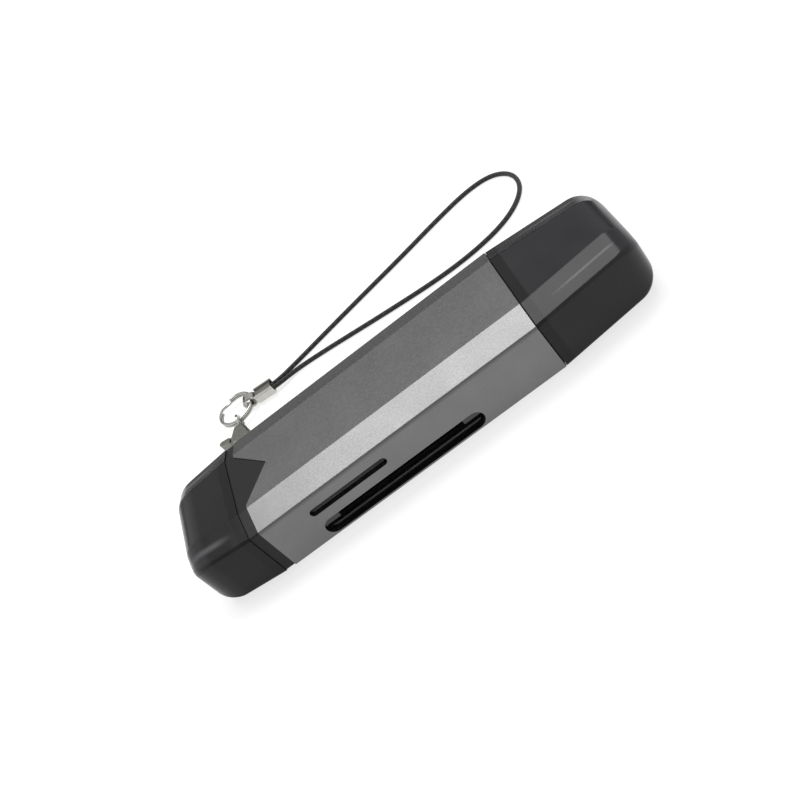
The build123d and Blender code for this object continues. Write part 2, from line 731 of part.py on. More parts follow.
def make_cord_crimp():
    inner, outer = crimp_loop_radius, crimp_loop_radius + crimp_sheet
    across_y = Plane(origin=(0, crimp_strap / 2, 0), x_dir=(1, 0, 0), z_dir=(0, -1, 0))
    opening = Pos(-crimp_loop_run / 2, 0) * SlotCenterToCenter(crimp_loop_run, 2 * inner)
    around = Pos(-crimp_loop_run / 2, 0) * SlotCenterToCenter(crimp_loop_run, 2 * outer)
    loop = extrude(across_y * (around - opening), crimp_strap)
    bottom = -crimp_height / 2
    x0 = outer - 0.05
    x1 = x0 + crimp_length
    half = crimp_width / 2
    channel = block(x0, x1, -half, half, bottom, -bottom)
    channel -= block(x0 - 1, x1 + 1, crimp_sheet - half, half - crimp_sheet,
                     bottom + crimp_sheet, crimp_height)
    cover_top = -bottom - crimp_cover_drop
    channel += block(x0, x1 - crimp_cover_short, crimp_sheet - half, half - crimp_sheet,
                     cover_top - crimp_sheet, cover_top)
    tab = block(inner - 0.1, x0 + 0.6, -crimp_strap / 2, crimp_strap / 2, bottom, bottom + crimp_sheet)
    strap = tab - extrude(across_y * opening, crimp_strap)
    return crimp_frame() * (loop + strap + channel)


def cord_route():
    """Points of the loop, from one strand in the folded end round to the other."""
    frame = crimp_frame()
    start_x = crimp_loop_radius + crimp_sheet + 0.9
    low = cord_diameter / 2
    inside = -crimp_height / 2 + crimp_sheet + cord_diameter / 2
    out_x = crimp_loop_radius + crimp_sheet - 0.05 + crimp_length
    side = cord_diameter / 2 + 0.02
    near = [(frame * Pos(x, -side, inside)).position for x in (start_x, out_x + 0.6)]
    far = [(frame * Pos(x, side, inside)).position for x in (start_x, out_x + 0.6)]
    lying = [(-12.6, 28.25), (-7.2, 27.6), (-0.8, 26.5), (6.6, 25.3), (14.2, 24.3), (20.4, 24.3),
             (26.1, 25.4), (30.1, 27.9), (32.2, 31.4), (32.1, 35.6), (29.4, 38.7), (24.8, 39.2),
             (18.7, 37.9), (10.5, 35.6), (1.4, 33.4), (-6.4, 31.4), (-12.4, 29.8)]
    floor = [Vector(x, y, low) for x, y in lying]
    return near + floor + list(reversed(far))


def cord_path(points):
    """Straight runs joined by arcs as large as the runs beside them allow."""
    runs = [b - a for a, b in zip(points, points[1:])]
    radii = []
    for before, after in zip(runs, runs[1:]):
        turn = math.radians(before.get_angle(after))
        radii.append(0.45 * min(before.length, after.length) / math.tan(turn / 2))
    print("cord length", round(sum(run.length for run in runs), 1), "radii", [round(r, 1) for r in radii])
    return FilletPolyline(*points, radius=radii)


def make_lanyard_cord():
    path = cord_path(cord_route())
    round_enough = RegularPolygon(cord_diameter / 2, 8)
    cord = sweep(Plane(origin=path @ 0, z_dir=path % 0) * round_enough, path=path)
    expected = round_enough.area * path.length
    print("cord volume", round(cord.volume, 2), "expected", round(expected, 2))
    return cord


def build():
    return {
        "outer_sleeve": make_outer_sleeve(),
        "collar": make_collar(),
        "end_plate": make_end_plate(),
        "lower_frame": make_lower_frame(),
        "upper_frame": make_upper_frame(),
        "usb_a_cap": make_cap(right_end, usb_a_cap_length, 1),
        "usb_c_cap": make_cap(collar_face, usb_c_cap_length, -1),
        "circuit_board": make_circuit_board(),
        "controller_chip": make_controller_chip(),
        "clock_crystal": make_clock_crystal(),
        "voltage_regulator": make_voltage_regulator(),
        "capacitors": make_capacitors(),
        "usb_a_shell": make_usb_a_shell(),
        "usb_a_tongue": make_usb_a_tongue(),
        "usb_a_contacts": make_usb_a_contacts(),
        "usb_c_shell": make_usb_c_shell(),
        "usb_c_insulator": make_usb_c_insulator(),
        "usb_c_contacts": make_usb_c_contacts(),
        "large_card_base": make_large_card_base(),
        "large_card_cover": make_large_card_cover(),
        "large_card_contacts": make_large_card_contacts(),
        "small_card_base": make_small_card_base(),
        "small_card_cover": make_small_card_cover(),
        "small_card_contacts": make_small_card_contacts(),
        "clasp_body": make_clasp_body(),
        "clasp_trigger": make_clasp_trigger(),
        "clasp_pin": make_clasp_pin(),
        "clasp_spring": make_clasp_spring(),
        "clasp_eye": make_clasp_eye(),
        "split_ring": make_split_ring(),
        "cord_crimp": make_cord_crimp(),
        "lanyard_cord": make_lanyard_cord(),
    }


os.makedirs("parts", exist_ok=True)
for node, shape in build().items():
    export_step(shape, "parts/" + node + ".step")
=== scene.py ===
import bmesh
import bpy
import json
import math
from mathutils import Matrix, Vector

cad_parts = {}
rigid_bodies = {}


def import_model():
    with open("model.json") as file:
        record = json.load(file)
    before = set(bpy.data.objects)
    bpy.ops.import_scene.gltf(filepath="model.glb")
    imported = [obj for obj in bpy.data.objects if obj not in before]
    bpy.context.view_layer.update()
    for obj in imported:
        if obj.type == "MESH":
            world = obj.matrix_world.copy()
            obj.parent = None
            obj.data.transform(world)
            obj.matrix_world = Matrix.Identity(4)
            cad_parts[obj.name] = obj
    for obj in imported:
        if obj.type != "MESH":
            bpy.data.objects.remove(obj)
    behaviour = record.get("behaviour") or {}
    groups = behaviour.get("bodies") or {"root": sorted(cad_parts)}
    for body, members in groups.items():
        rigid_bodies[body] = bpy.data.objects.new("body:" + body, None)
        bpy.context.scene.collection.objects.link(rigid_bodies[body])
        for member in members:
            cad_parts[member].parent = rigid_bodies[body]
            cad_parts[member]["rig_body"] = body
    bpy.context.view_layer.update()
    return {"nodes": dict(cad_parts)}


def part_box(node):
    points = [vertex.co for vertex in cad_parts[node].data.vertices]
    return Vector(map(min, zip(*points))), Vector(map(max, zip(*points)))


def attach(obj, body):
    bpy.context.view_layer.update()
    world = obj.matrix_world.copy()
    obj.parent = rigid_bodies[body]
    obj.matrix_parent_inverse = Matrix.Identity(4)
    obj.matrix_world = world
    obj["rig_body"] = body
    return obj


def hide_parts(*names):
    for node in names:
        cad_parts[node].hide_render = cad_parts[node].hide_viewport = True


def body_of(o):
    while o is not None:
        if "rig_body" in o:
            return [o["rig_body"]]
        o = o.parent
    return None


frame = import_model()
nodes = frame["nodes"]
mm = 0.001
print("frame loaded:", len(nodes), "nodes")


def linearFromHex(text):
    # sRGB hex to the linear colour that a socket wants
    channels = [int(text[i:i + 2], 16) / 255 for i in (1, 3, 5)]
    return tuple(c / 12.92 if c <= 0.04045 else ((c + 0.055) / 1.055) ** 2.4 for c in channels) + (1.0,)


def addNode(tree, kind, inputs=None, **settings):
    # one node with its settings; an input is a plain value or a socket to link
    node = tree.nodes.new(kind)
    for name, value in settings.items():
        setattr(node, name, value)
    for key, value in (inputs or {}).items():
        if isinstance(value, bpy.types.NodeSocket):
            tree.links.new(value, node.inputs[key])
        else:
            node.inputs[key].default_value = value
    return node


def startMaterial(name):
    material = bpy.data.materials.new(name)
    material.use_nodes = True
    material.node_tree.nodes.clear()
    return material, material.node_tree


noiseRange = {"From Min": 0.3, "From Max": 0.7}   # nearly all of a noise lies in this range


def grained(tree, place, look, detail=2.0):
    # a noise with blobs of the look's grain size in metres, and the colour and roughness that follow it
    grain = addNode(tree, "ShaderNodeTexNoise", {"Vector": place, "Scale": 1 / look["grain"],
                                                 "Detail": detail}).outputs["Fac"]
    share = addNode(tree, "ShaderNodeMapRange", {"Value": grain, **noiseRange}).outputs["Result"]
    colour = addNode(tree, "ShaderNodeMix", {"Factor": share, "A": linearFromHex(look["dark"]),
                                             "B": linearFromHex(look["light"])}, data_type="RGBA")
    low, high = look["roughness"]
    rough = addNode(tree, "ShaderNodeMapRange", {"Value": grain, **noiseRange, "To Min": low, "To Max": high})
    return grain, colour.outputs["Result"], rough.outputs["Result"]


# Bead-blasted, grey anodised aluminium: a soft satin metal with a fine sparkle of grit. The darker line along
# the top of each side, under the shoulder, is painted shade matched to the picture
sleeveLook = {"dark": "#707070", "light": "#787878", "roughness": (0.34, 0.42),
              "grain": 0.28 * mm,   # real grit is 0.1 mm, drawn coarser so that it shows
              "gritDepth": 0.004 * mm, "cloud": 6 * mm, "cloudDetail": 3.0, "colourRange": (0.75, 1.25),
              "line": "#606060", "shadeLineFrom": 8.5 * mm, "shadeLineTo": 9.0 * mm, "shoulder": 9.17 * mm}


def anodisedAluminium():
    look = sleeveLook
    material, tree = startMaterial("anodised aluminium")
    place = addNode(tree, "ShaderNodeTexCoord").outputs["Object"]
    grit = addNode(tree, "ShaderNodeTexNoise", {"Vector": place, "Scale": 1 / look["grain"]}).outputs["Fac"]
    cloud = addNode(tree, "ShaderNodeTexNoise", {"Vector": place, "Scale": 1 / look["cloud"],
                                                 "Detail": look["cloudDetail"]}).outputs["Fac"]
    both = addNode(tree, "ShaderNodeMath", {0: grit, 1: cloud}, operation="ADD").outputs[0]
    low, high = look["colourRange"]
    share = addNode(tree, "ShaderNodeMapRange", {"Value": both, "From Min": low,
                                                 "From Max": high}).outputs["Result"]
    colour = addNode(tree, "ShaderNodeMix", {"Factor": share, "A": linearFromHex(look["dark"]),
                                             "B": linearFromHex(look["light"])}, data_type="RGBA")
    # the painted shade line fades in upwards and ends at the shoulder
    height = addNode(tree, "ShaderNodeSeparateXYZ", {"Vector": place}).outputs["Z"]
    rise = addNode(tree, "ShaderNodeMapRange", {"Value": height, "From Min": look["shadeLineFrom"],
                                                "From Max": look["shadeLineTo"]}).outputs["Result"]
    below = addNode(tree, "ShaderNodeMath", {0: height, 1: look["shoulder"]}, operation="LESS_THAN").outputs[0]
    line = addNode(tree, "ShaderNodeMath", {0: rise, 1: below}, operation="MULTIPLY").outputs[0]
    colour = addNode(tree, "ShaderNodeMix", {"Factor": line, "A": colour.outputs["Result"],
                                             "B": linearFromHex(look["line"])}, data_type="RGBA")
    low, high = look["roughness"]
    rough = addNode(tree, "ShaderNodeMapRange", {"Value": grit, **noiseRange, "To Min": low, "To Max": high})
    bump = addNode(tree, "ShaderNodeBump", {"Height": grit, "Distance": look["gritDepth"]})
    shader = addNode(tree, "ShaderNodeBsdfPrincipled", {
        "Base Color": colour.outputs["Result"], "Metallic": 1.0, "Roughness": rough.outputs["Result"],
        "Normal": bump.outputs["Normal"]})
    addNode(tree, "ShaderNodeOutputMaterial", {"Surface": shader.outputs["BSDF"]})
    return material


# Smoke-tinted polycarbonate from a polished mould: deep grey with a soft gloss. Painted light and shade lie over
# the tint: a dark band over the boss, painted shade where the boss behind the thin wall blocks the light through
# it; a paler end, a painted highlight; and a thin pale line along the cap, a painted highlight. The grain is the
# slow flow of the moulding, and each cap's tint is matched to the picture
capLook = {"roughness": (0.20, 0.28), "ior": 1.58, "grain": 5 * mm,
           "bossShade": "#121213", "bossLength": 1.3 * mm, "bossShadeFade": 0.25 * mm,
           # the paler end is a painted highlight
           "endHighlightStart": 4.2 * mm, "endHighlightFull": 0.5 * mm,   # both are distances back from the tip
           # the thin pale line is a painted highlight, in each cap's edge colour
           "highlightHeight": 7.75 * mm, "taper": math.tan(math.radians(7)),
           "highlightRise": (0.2, 0.45), "highlightFade": 1 * mm}   # the rise is in shares of the length
# the two caps are one plastic, so the difference between their tints is painted light and shade; each cap's end
# and edge colours are painted highlights
capTints = {"usb_a_cap": {"dark": "#252528", "light": "#2B2B2E", "end": "#343437", "edge": "#6C6C6E",
                          "highlightWidth": 0.25 * mm, "highlightStop": 2.4 * mm, "specular": 0.19},
            "usb_c_cap": {"dark": "#1B1B1D", "light": "#212123", "end": "#555557", "edge": "#646466",
                          "highlightWidth": 0.6 * mm, "highlightStop": 0.0, "specular": 0.16}}


def smokePolycarbonate(name, rim, tip):
    look = {**capLook, **capTints[name]}
    length, out = abs(tip - rim), math.copysign(1, tip - rim)
    material, tree = startMaterial("smoke polycarbonate " + name)
    place = addNode(tree, "ShaderNodeTexCoord").outputs["Object"]
    colour, rough = grained(tree, place, look, detail=3.0)[1:]
    split = addNode(tree, "ShaderNodeSeparateXYZ", {"Vector": place}).outputs
    depth = addNode(tree, "ShaderNodeMath", {0: split["X"], 1: rim}, operation="SUBTRACT").outputs[0]
    depth = addNode(tree, "ShaderNodeMath", {0: depth, 1: out}, operation="MULTIPLY").outputs[0]
    # how far a point is from the painted highlight line, which follows the taper of the cap's sides
    side = addNode(tree, "ShaderNodeMath", {0: split["Y"]}, operation="ABSOLUTE").outputs[0]
    side = addNode(tree, "ShaderNodeMath", {0: depth, 1: look["taper"], 2: side},
                   operation="MULTIPLY_ADD").outputs[0]
    off = addNode(tree, "ShaderNodeMath", {0: side, 1: look["highlightHeight"]}, operation="SUBTRACT").outputs[0]
    off = addNode(tree, "ShaderNodeMath", {0: off}, operation="ABSOLUTE").outputs[0]
    # each ramp: what it follows, where it starts and ends, and what it is there
    bossShadeEnd, highlightEnd = look["bossLength"], length - look["highlightStop"]
    riseFrom, riseTo = (share * length for share in look["highlightRise"])
    ramps = []
    for value, start, end, first, last in (
            (depth, bossShadeEnd, bossShadeEnd + look["bossShadeFade"], 0.0, 1.0),
            (depth, length - look["endHighlightStart"], length - look["endHighlightFull"], 0.0, 1.0),
            (off, 0.0, look["highlightWidth"], 1.0, 0.0),
            (depth, riseFrom, riseTo, 0.0, 1.0),
            (depth, highlightEnd - look["highlightFade"], highlightEnd, 1.0, 0.0)):
        ramps.append(addNode(tree, "ShaderNodeMapRange", {"Value": value, "From Min": start, "From Max": end,
                                                          "To Min": first, "To Max": last}).outputs["Result"])
    pastBossShade, endHighlight, line, *fades = ramps
    for fade in fades:
        line = addNode(tree, "ShaderNodeMath", {0: line, 1: fade}, operation="MULTIPLY").outputs[0]
    # the painted highlights, at the end and along the line, lie over the tint, and the painted boss shade over all
    # of it as far as the boss reaches
    for factor, key in ((endHighlight, "end"), (line, "edge")):
        colour = addNode(tree, "ShaderNodeMix", {"Factor": factor, "A": colour, "B": linearFromHex(look[key])},
                         data_type="RGBA").outputs["Result"]
    colour = addNode(tree, "ShaderNodeMix", {"Factor": pastBossShade, "A": linearFromHex(look["bossShade"]), "B": colour},
                     data_type="RGBA").outputs["Result"]
    shader = addNode(tree, "ShaderNodeBsdfPrincipled", {
        "Base Color": colour, "Roughness": rough, "IOR": look["ior"], "Specular IOR Level": look["specular"]})
    addNode(tree, "ShaderNodeOutputMaterial", {"Surface": shader.outputs["BSDF"]})
    return material


# Metals: colour and roughness follow a cast skin, or drawing lines where the grain is stretched along X. The
# lines are drawn coarser than real ones, so that they show
metalLooks = {
    # bright and slightly warm, with fine drawing lines
    "nickel plated steel": {"dark": "#B4B3AE", "light": "#CFCEC9", "roughness": (0.14, 0.26),
                            "grain": 0.12 * mm, "stretch": 0.08},
    # die-cast, under thin nickel: greyer and duller than the wire, with a faint cast skin
    "nickel plated zinc": {"dark": "#7C7D75", "light": "#8B8C84", "roughness": (0.30, 0.42),
                           "grain": 0.5 * mm, "stretch": 1.0},
    # round wire of the split ring: plated after winding, so smooth along its length
    "nickel plated spring wire": {"dark": "#B2B1AD", "light": "#C0BFBB", "roughness": (0.16, 0.2),
                                  "grain": 0.6 * mm, "stretch": 1.0},
    # socket covers: drawn darker and duller than real tin, to suit the picture's dark slots; the darker colour is
    # painted shade for the shade inside the slots
    "tinned steel in painted shade": {"dark": "#3C3C3C", "light": "#464646", "roughness": (0.45, 0.6),
                     "grain": 0.2 * mm, "stretch": 0.08},
    # the folded end: bright on the walls, and darker on the flat on top, which is painted shade
    "pressed nickel strip": {"dark": "#AEADA8", "light": "#C6C5C0", "roughness": (0.2, 0.32),
                             "grain": 0.14 * mm, "stretch": 0.08,
                             "flat": "#908F8B", "flatHeight": 1.750 * mm, "flatBand": 0.06 * mm},
    # contacts: warm and bright
    "gold flash": {"dark": "#C79B3F", "light": "#E2BC66", "roughness": (0.18, 0.3),
                   "grain": 0.15 * mm, "stretch": 0.08},
    # plain drawn steel, greyer than the plated pieces
    "drawn spring wire": {"dark": "#8E8E8C", "light": "#ABABA8", "roughness": (0.25, 0.35),
                          "grain": 0.1 * mm, "stretch": 0.08},
}


def workedMetal(name):
    look = metalLooks[name]
    material, tree = startMaterial(name)
    place = addNode(tree, "ShaderNodeTexCoord").outputs["Object"]
    stretched = addNode(tree, "ShaderNodeMapping", {"Vector": place, "Scale": (look["stretch"], 1.0, 1.0)})
    colour, rough = grained(tree, stretched.outputs["Vector"], look, detail=3.0)[1:]
    # the darker flat on top is painted shade
    if "flat" in look:
        height = addNode(tree, "ShaderNodeSeparateXYZ", {"Vector": place}).outputs["Z"]
        pressed = addNode(tree, "ShaderNodeMath", {0: height, 1: look["flatHeight"], 2: look["flatBand"]},
                          operation="COMPARE").outputs[0]
        colour = addNode(tree, "ShaderNodeMix", {"Factor": pressed, "A": colour, "B": linearFromHex(look["flat"])},
                         data_type="RGBA").outputs["Result"]
    shader = addNode(tree, "ShaderNodeBsdfPrincipled", {"Base Color": colour, "Metallic": 1.0,
                                                        "Roughness": rough})
    addNode(tree, "ShaderNodeOutputMaterial", {"Surface": shader.outputs["BSDF"]})
    return material


# Plastics, laminate and ceramic, told apart by colour and grain. The grain is drawn coarser than a real one, so
# that it shows
plasticLooks = {
    # fine spark-eroded texture: dull, a little paler where light grazes it
    "moulded black ABS": {"dark": "#131313", "light": "#181818", "roughness": (0.42, 0.55),
                          "grain": 0.25 * mm, "depth": 0.006 * mm, "ior": 1.54, "specular": 0.26},
    # the tray: as dull as the black one, in a grey matched to the picture's large slot; the grey is painted light
    # that lifts the shade inside the slot
    "moulded ABS grey as painted light": {"dark": "#4A4A4A", "light": "#525252", "roughness": (0.42, 0.55), "grain": 0.25 * mm},
    # the cover and the card supports: pale as painted light, so that the shaded small slot reads dark grey and not
    # black
    "moulded ABS pale as painted light": {"dark": "#A2A2A2", "light": "#ACACAC", "roughness": (0.5, 0.6), "grain": 0.25 * mm},
    # the plugs' tongues: near black, with a slight gloss
    "tongue plastic": {"dark": "#1B1B1C", "light": "#232324", "roughness": (0.35, 0.5), "grain": 0.3 * mm},
    # the board: smooth, black with a green cast
    "black solder mask": {"dark": "#14201A", "light": "#1B2A22", "roughness": (0.25, 0.4), "grain": 0.5 * mm},
    # chips: dull, nearly black
    "epoxy package": {"dark": "#1C1C1E", "light": "#28282A", "roughness": (0.5, 0.65), "grain": 0.15 * mm},
    # capacitors: brown and faintly glazed
    "capacitor ceramic": {"dark": "#8A745A", "light": "#A08A6C", "roughness": (0.35, 0.5), "grain": 0.2 * mm},
}
plainPlastic = {"depth": 0.004 * mm, "ior": 1.5, "specular": 0.5}   # where a look names nothing else


def plastic(name):
    look = {**plainPlastic, **plasticLooks[name]}
    material, tree = startMaterial(name)
    place = addNode(tree, "ShaderNodeTexCoord").outputs["Object"]
    grain, colour, rough = grained(tree, place, look)
    bump = addNode(tree, "ShaderNodeBump", {"Height": grain, "Distance": look["depth"]}).outputs["Normal"]
    shader = addNode(tree, "ShaderNodeBsdfPrincipled", {
        "Base Color": colour, "Roughness": rough, "IOR": look["ior"], "Specular IOR Level": look["specular"],
        "Normal": bump})
    addNode(tree, "ShaderNodeOutputMaterial", {"Surface": shader.outputs["BSDF"]})
    return material


# Braided nylon: black, with strands that cross and catch a dull light on their crowns; the darker colour in the
# gaps between strands is painted shade
cordLook = {"strand": "#202020", "gap": "#060606", "turns": 6, "pitch": 1.1 * mm, "crown": (-0.6, 1.0),
            "roughness": 0.62, "sheen": 0.25, "depth": 0.05 * mm}


def braidedNylon(length):
    material, tree = startMaterial("braided black nylon")
    uv = addNode(tree, "ShaderNodeSeparateXYZ", {"Vector": addNode(tree, "ShaderNodeTexCoord").outputs["UV"]})
    along = addNode(tree, "ShaderNodeMath", {0: uv.outputs["X"], 1: math.tau * length / cordLook["pitch"]},
                    operation="MULTIPLY").outputs[0]
    around = addNode(tree, "ShaderNodeMath", {0: uv.outputs["Y"], 1: math.tau * cordLook["turns"] / 2},
                     operation="MULTIPLY").outputs[0]
    waves = []
    for way in ("ADD", "SUBTRACT"):
        angle = addNode(tree, "ShaderNodeMath", {0: along, 1: around}, operation=way).outputs[0]
        waves.append(addNode(tree, "ShaderNodeMath", {0: angle}, operation="SINE").outputs[0])
    crown = addNode(tree, "ShaderNodeMath", {0: waves[0], 1: waves[1]}, operation="MAXIMUM").outputs[0]
    low, high = cordLook["crown"]
    height = addNode(tree, "ShaderNodeMapRange", {"Value": crown, "From Min": low,
                                                  "From Max": high}).outputs["Result"]
    # painted shade: the colour darkens into the gaps between strands
    colour = addNode(tree, "ShaderNodeMix", {"Factor": height, "A": linearFromHex(cordLook["gap"]),
                                             "B": linearFromHex(cordLook["strand"])}, data_type="RGBA")
    bump = addNode(tree, "ShaderNodeBump", {"Height": height, "Distance": cordLook["depth"]})
    shader = addNode(tree, "ShaderNodeBsdfPrincipled", {
        "Base Color": colour.outputs["Result"], "Roughness": cordLook["roughness"],
        "Sheen Weight": cordLook["sheen"], "Normal": bump.outputs["Normal"]})
    addNode(tree, "ShaderNodeOutputMaterial", {"Surface": shader.outputs["BSDF"]})
    return material


def assign(material, *names):
    for name in names:
        slots = nodes[name].data.materials
        slots.clear()
        slots.append(material)


# Camera: it stands over the slot side and is turned well over, as the picture is
cameraSettings = {"place": (25.04 * mm, -119.76 * mm, 98.51 * mm), "yaw": -11.147, "pitch": 37.399,
                  "roll": -43.572, "lens": 51.82, "sensor": 36.0, "nearest": 5 * mm}


def addCamera():
    data = bpy.data.cameras.new("camera")
    data.lens, data.sensor_width = cameraSettings["lens"], cameraSettings["sensor"]
    data.clip_start = cameraSettings["nearest"]
    camera = bpy.data.objects.new("camera", data)
    bpy.context.scene.collection.objects.link(camera)
    yaw, pitch, roll = (math.radians(cameraSettings[key]) for key in ("yaw", "pitch", "roll"))
    ahead = Vector((math.cos(pitch) * math.sin(yaw), math.cos(pitch) * math.cos(yaw), -math.sin(pitch)))
    level = Vector((math.cos(yaw), -math.sin(yaw), 0))
    upright = level.cross(ahead)
    right = math.cos(roll) * level + math.sin(roll) * upright
    up = -math.sin(roll) * level + math.cos(roll) * upright
    turn = Matrix((right, up, -ahead)).transposed()
    camera.matrix_world = Matrix.Translation(cameraSettings["place"]) @ turn.to_4x4()
    bpy.context.scene.camera = camera


addCamera()
print("camera placed")


def addPiece(name, mesh, body, slot, material, *stoodFor):
    piece = bpy.data.objects.new(name, mesh)
    bpy.context.scene.collection.objects.link(piece)
    mesh.materials.clear()
    mesh.materials.append(material)
    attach(piece, body)
    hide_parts(*stoodFor)
    return piece


# Split ring: two flat turns of round wire, and a short climb from the lower turn to the upper. Angles are degrees
ringSettings = {"centre": (-24.2 * mm, 28.2 * mm, 1.25 * mm), "radius": 3.05 * mm, "wire": 0.45 * mm,
                "pitch": 0.5 * mm, "climb": 40.0, "tipGap": 6.0, "start": 149.0, "steps": 240, "sides": 16,
                "sharp": 50.0}


def ringTree():
    # points on a line are moved along the turns, then become a curve, then a round wire
    tree = bpy.data.node_groups.new("splitRing", "GeometryNodeTree")
    for name, kind in (("Radius", "NodeSocketFloat"), ("Wire", "NodeSocketFloat"), ("Pitch", "NodeSocketFloat"),
                       ("Turned Angle", "NodeSocketFloat"), ("Climb Start", "NodeSocketFloat"),
                       ("Climb End", "NodeSocketFloat"), ("Start Angle", "NodeSocketFloat"),
                       ("Centre", "NodeSocketVector"), ("Steps", "NodeSocketInt"), ("Sides", "NodeSocketInt"),
                       ("Finish", "NodeSocketMaterial")):
        tree.interface.new_socket(name=name, in_out="INPUT", socket_type=kind)
    tree.interface.new_socket(name="Geometry", in_out="OUTPUT", socket_type="NodeSocketGeometry")
    given = addNode(tree, "NodeGroupInput").outputs
    line = addNode(tree, "GeometryNodeMeshLine", {"Count": given["Steps"]}).outputs["Mesh"]
    index = addNode(tree, "GeometryNodeInputIndex").outputs["Index"]
    last = addNode(tree, "ShaderNodeMath", {0: given["Steps"], 1: 1.0}, operation="SUBTRACT").outputs[0]
    share = addNode(tree, "ShaderNodeMath", {0: index, 1: last}, operation="DIVIDE").outputs[0]
    angle = addNode(tree, "ShaderNodeMath", {0: share, 1: given["Turned Angle"]}, operation="MULTIPLY").outputs[0]
    climb = addNode(tree, "ShaderNodeMapRange", {"Value": angle, "From Min": given["Climb Start"],
                                                 "From Max": given["Climb End"], "To Min": -0.5, "To Max": 0.5},
                    interpolation_type="SMOOTHSTEP").outputs["Result"]
    height = addNode(tree, "ShaderNodeMath", {0: climb, 1: given["Pitch"]}, operation="MULTIPLY").outputs[0]
    turned = addNode(tree, "ShaderNodeMath", {0: angle, 1: given["Start Angle"]}, operation="ADD").outputs[0]
    across = []
    for wave in ("COSINE", "SINE"):
        unit = addNode(tree, "ShaderNodeMath", {0: turned}, operation=wave).outputs[0]
        across.append(addNode(tree, "ShaderNodeMath", {0: unit, 1: given["Radius"]},
                              operation="MULTIPLY").outputs[0])
    spot = addNode(tree, "ShaderNodeCombineXYZ", {"X": across[0], "Y": across[1], "Z": height}).outputs["Vector"]
    spot = addNode(tree, "ShaderNodeVectorMath", {0: spot, 1: given["Centre"]}, operation="ADD").outputs["Vector"]
    placed = addNode(tree, "GeometryNodeSetPosition", {"Geometry": line, "Position": spot}).outputs["Geometry"]
    path = addNode(tree, "GeometryNodeMeshToCurve", {"Mesh": placed}).outputs["Curve"]
    half = addNode(tree, "ShaderNodeMath", {0: given["Wire"], 1: 2.0}, operation="DIVIDE").outputs[0]
    section = addNode(tree, "GeometryNodeCurvePrimitiveCircle", {"Resolution": given["Sides"], "Radius": half})
    wire = addNode(tree, "GeometryNodeCurveToMesh", {"Curve": path, "Profile Curve": section.outputs["Curve"],
                                                     "Fill Caps": True}).outputs["Mesh"]
    whole = addNode(tree, "GeometryNodeRealizeInstances", {"Geometry": wire}).outputs["Geometry"]
    done = addNode(tree, "GeometryNodeSetMaterial", {"Geometry": whole, "Material": given["Finish"]})
    addNode(tree, "NodeGroupOutput", {"Geometry": done.outputs["Geometry"]})
    return tree


def makeSplitRing(material):
    tree = ringTree()
    maker = bpy.data.objects.new("ringMaker", bpy.data.meshes.new("ringMaker"))
    bpy.context.scene.collection.objects.link(maker)
    modifier = maker.modifiers.new("splitRing", "NODES")
    modifier.node_group = tree
    climbStart = 360 - ringSettings["climb"]
    values = {"Radius": ringSettings["radius"], "Wire": ringSettings["wire"], "Pitch": ringSettings["pitch"],
              "Turned Angle": math.radians(360 + climbStart - ringSettings["tipGap"]),
              "Climb Start": math.radians(climbStart), "Climb End": math.tau,
              "Start Angle": math.radians(ringSettings["start"]), "Centre": ringSettings["centre"],
              "Steps": ringSettings["steps"], "Sides": ringSettings["sides"], "Finish": material}
    for item in tree.interface.items_tree:
        if item.in_out == "INPUT":
            modifier[item.identifier] = values[item.name]
    shapes = bpy.context.evaluated_depsgraph_get()
    mesh = bpy.data.meshes.new_from_object(maker.evaluated_get(shapes))
    bpy.data.objects.remove(maker)
    mesh.shade_smooth()
    mesh.set_sharp_from_angle(angle=math.radians(ringSettings["sharp"]))
    return addPiece("splitRing", mesh, body_of(nodes["split_ring"])[0], "spring_wire", material, "split_ring")


# Softened edges: a merged copy of a CAD piece with its edges broken as the mould or the blasting leaves them.
# The cut rims at a seam are only touched. Angles are degrees
softSettings = {"edges": {"usb_a_cap": 0.30 * mm, "usb_c_cap": 0.30 * mm, "outer_sleeve": 0.12 * mm,
                          "clasp_body": 0.08 * mm},
                "steps": 3, "rims": 0.06 * mm, "rimSteps": 2, "profile": 0.5,
                "seams": (-23.5 * mm, -22 * mm, 22 * mm), "seamReach": 0.2 * mm, "merge": 0.0005 * mm,
                "flat": 0.4,      # faces that turn less are one face
                "broken": 13.0,   # an edge that turns more is broken
                "sharp": 35.0}    # an edge that turns more is shaded sharp


def atRim(edge):
    return any(all(abs(vert.co.x - seam) < softSettings["seamReach"] for vert in edge.verts)
               for seam in softSettings["seams"])


def breakEdges(shape, offset, steps, rims):
    chosen = [edge for edge in shape.edges if edge.is_manifold
              and edge.calc_face_angle() > math.radians(softSettings["broken"]) and atRim(edge) == rims]
    bmesh.ops.bevel(shape, geom=chosen, offset=offset, segments=steps,
                    profile=softSettings["profile"], affect="EDGES", clamp_overlap=True)


def softened(name, slot, material):
    shape = bmesh.new()
    shape.from_mesh(nodes[name].data)
    bmesh.ops.remove_doubles(shape, verts=shape.verts, dist=softSettings["merge"])
    bmesh.ops.dissolve_limit(shape, angle_limit=math.radians(softSettings["flat"]), verts=shape.verts,
                             edges=shape.edges)
    breakEdges(shape, softSettings["edges"][name], softSettings["steps"], False)
    breakEdges(shape, softSettings["rims"], softSettings["rimSteps"], True)
    mesh = bpy.data.meshes.new(name + "Soft")
    shape.to_mesh(mesh)
    shape.free()
    mesh.shade_smooth()
    mesh.set_sharp_from_angle(angle=math.radians(softSettings["sharp"]))
    piece = addPiece(name + "Soft", mesh, body_of(nodes[name])[0], slot, material, name)
    flat = piece.modifiers.new("flatFaces", "WEIGHTED_NORMAL")
    flat.keep_sharp = True
    return piece


